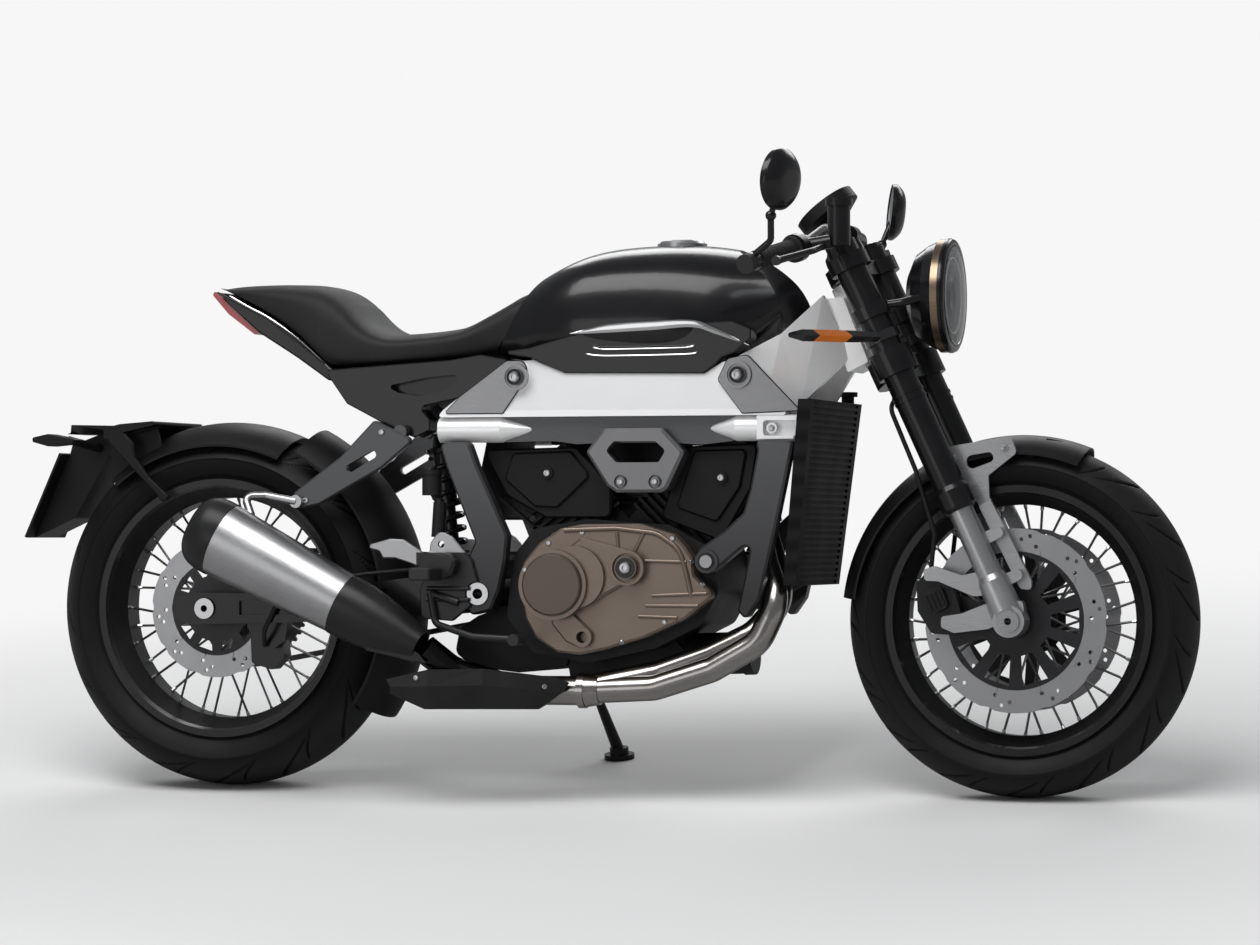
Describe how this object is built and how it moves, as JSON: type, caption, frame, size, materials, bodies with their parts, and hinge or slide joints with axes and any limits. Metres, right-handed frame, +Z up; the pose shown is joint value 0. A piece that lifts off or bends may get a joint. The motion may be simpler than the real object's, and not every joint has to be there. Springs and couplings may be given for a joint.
{
  "type": "cafe racer motorcycle",
  "caption": "Naked V-twin motorcycle with wire wheels and a low single seat, leaning on its side stand.",
  "frame": {"origin": "on the ground, under the middle of the parked motorcycle's box", "axes": "+X forwards, +Y to the motorcycle's left, +Z up; the motorcycle leans to its left by the stand's angle"},
  "size_m": [2.0992, 0.8822, 1.1244],
  "materials": {
    "tyre": "matt black rubber",
    "black_rim": "satin black with steel spokes",
    "brake_steel": "ground steel, drilled",
    "chain_steel": "oiled steel",
    "shaft_steel": "bright turned steel",
    "black_metal": "satin black paint on alloy",
    "silver_frame": "bright silver satin",
    "grey_frame": "dark grey satin cast alloy",
    "engine_black": "black crackle on cast alloy",
    "bronze_cover": "bronze satin cast alloy",
    "exhaust_steel": "polished steel pipe",
    "muffler_steel": "brushed silver sheet",
    "dark_plastic": "matt black moulding",
    "radiator_alloy": "black finned alloy",
    "gloss_black": "deep gloss black",
    "bright_alloy": "bright satin alloy",
    "seat_cover": "matt charcoal seat cover",
    "red_lens": "red lens",
    "clear_lens": "clear glass",
    "hose_rubber": "smooth black hose",
    "rubber_grip": "ribbed black rubber",
    "amber_lens": "amber lens in a black case",
    "plate_blank": "blank plate"
  },
  "bodies": {
    "chassis": {"frame_beams": "silver_frame", "frame_bands": "grey_frame", "rear_legs": "grey_frame", "front_legs": "grey_frame", "hanger_plates": "grey_frame", "crankcase": "engine_black", "air_box": "dark_plastic", "cylinders": "engine_black", "cylinder_covers": "dark_plastic", "clutch_cover": "bronze_cover", "generator_cover": "bronze_cover", "headers": "exhaust_steel", "exhaust_shield": "dark_plastic", "muffler": "muffler_steel", "muffler_ends": "dark_plastic", "radiator": "radiator_alloy", "fuel_tank": "gloss_black", "fuel_cap": "bright_alloy", "seat": "seat_cover", "tail_cowl": "gloss_black", "side_panels": "gloss_black", "tail_lamp": "red_lens", "swingarm": "black_metal", "axle_and_pivot": "shaft_steel", "shock": "black_metal", "drive_chain": "chain_steel", "rear_caliper": "black_metal", "rear_guards": "dark_plastic", "number_plate": "plate_blank", "rear_signals": "dark_plastic", "footrests": "bright_alloy", "stand_bracket": "black_metal", "coolant_hoses": "hose_rubber", "rear_hose": "hose_rubber"},
    "steering": {"triple_clamps": "black_metal", "fork_tubes": "black_metal", "fork_sliders": "bright_alloy", "front_axle": "shaft_steel", "calipers": "black_metal", "front_guard": "dark_plastic", "guard_stays": "bright_alloy", "headlight_shell": "gloss_black", "headlight_lens": "clear_lens", "handlebar": "black_metal", "grips": "rubber_grip", "hand_controls": "black_metal", "mirrors": "gloss_black", "instrument": "dark_plastic", "front_signals": "amber_lens", "brake_hoses": "hose_rubber"},
    "front_wheel": {"front_tyre": "tyre", "front_rim": "black_rim", "front_discs": "brake_steel"},
    "rear_wheel": {"rear_tyre": "tyre", "rear_rim": "black_rim", "rear_disc": "brake_steel", "rear_sprocket": "chain_steel"},
    "side_stand": {"side_stand": "black_metal"}
  },
  "joints": [
    {"name": "steering_turn", "type": "hinge", "parent": "chassis", "child": "steering", "pos_m": [0.47775, -0.03365, 0.79905], "axis": [-0.4195, 0.142, 0.8966], "range_deg": [-28, 28]},
    {"name": "front_wheel_spin", "type": "hinge", "parent": "steering", "child": "front_wheel", "pos_m": [0.7498, -0.11307, 0.29759], "axis": [0, 0.9877, -0.1564], "continuous": true},
    {"name": "rear_wheel_spin", "type": "hinge", "parent": "chassis", "child": "rear_wheel", "pos_m": [-0.6802, -0.11072, 0.3124], "axis": [0, 0.9877, -0.1564], "continuous": true},
    {"name": "side_stand_fold", "type": "hinge", "parent": "chassis", "child": "side_stand", "pos_m": [-0.0762, 0.00532, 0.21404], "axis": [0.097, 0.8798, 0.4652], "range_deg": [0, 92]}
  ]
}
